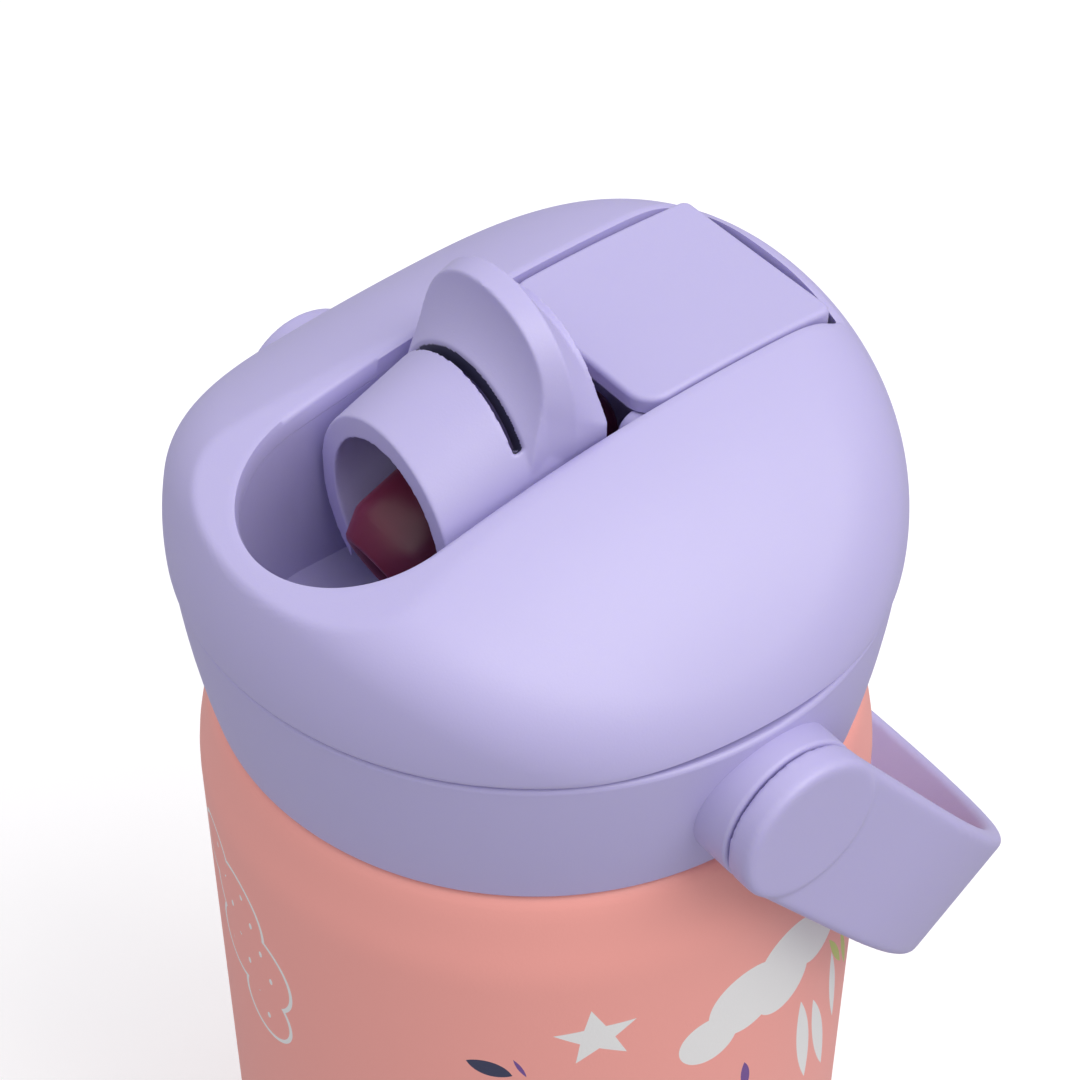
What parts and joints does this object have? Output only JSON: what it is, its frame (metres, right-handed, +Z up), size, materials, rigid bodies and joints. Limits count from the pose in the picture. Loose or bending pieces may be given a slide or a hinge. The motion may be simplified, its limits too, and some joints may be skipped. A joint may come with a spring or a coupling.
{
  "type": "kids water bottle",
  "caption": "Insulated steel kids bottle with a screw-on domed lid, a flip-up spout with a silicone mouthpiece and straw, and a swinging carry handle.",
  "frame": {"origin": "centre of the flat ring the bottle stands on", "axes": "+Z up the bottle's axis, -Y the way the spout points, X along the handle's and the spout's pivots"},
  "size_m": [0.086, 0.0904, 0.1834],
  "materials": {
    "shell_coat": "fine matte powder coat",
    "steel": "spun satin",
    "lid_plastic": "satin",
    "silicone_dark": "semi-gloss",
    "silicone_clear": "satin",
    "straw_plastic": "gloss",
    "pin_steel": "ground"
  },
  "bodies": {
    "bottle": {"outer_shell": "shell_coat", "inner_liner": "steel", "base_plate": "steel", "vacuum_seal": "steel"},
    "lid": {"collar_ring": "lid_plastic", "dome_cover": "lid_plastic", "spout_well": "lid_plastic", "rear_panel": "lid_plastic", "lid_gasket": "silicone_clear", "vent_valve": "silicone_clear", "straw": "straw_plastic", "straw_joiner": "straw_plastic", "hinge_pin_left": "pin_steel", "hinge_pin_right": "pin_steel", "mouthpiece_neck": "silicone_dark"},
    "spout": {"flip_spout": "lid_plastic", "mouthpiece": "silicone_dark"},
    "handle": {"handle_bail": "lid_plastic", "pivot_pin_left": "lid_plastic", "pivot_pin_right": "lid_plastic"}
  },
  "joints": [
    {"name": "lid_lift", "type": "slide", "parent": "bottle", "child": "lid", "axis": [0, 0, 1], "range_m": [0, 0.15]},
    {"name": "spout_flip", "type": "hinge", "parent": "lid", "child": "spout", "pos_m": [0, 0.005, 0.166], "axis": [-1, 0, 0], "range_deg": [0, 90]},
    {"name": "handle_swing", "type": "hinge", "parent": "lid", "child": "handle", "pos_m": [0, 0, 0.141], "axis": [1, 0, 0], "range_deg": [0, 284]}
  ]
}
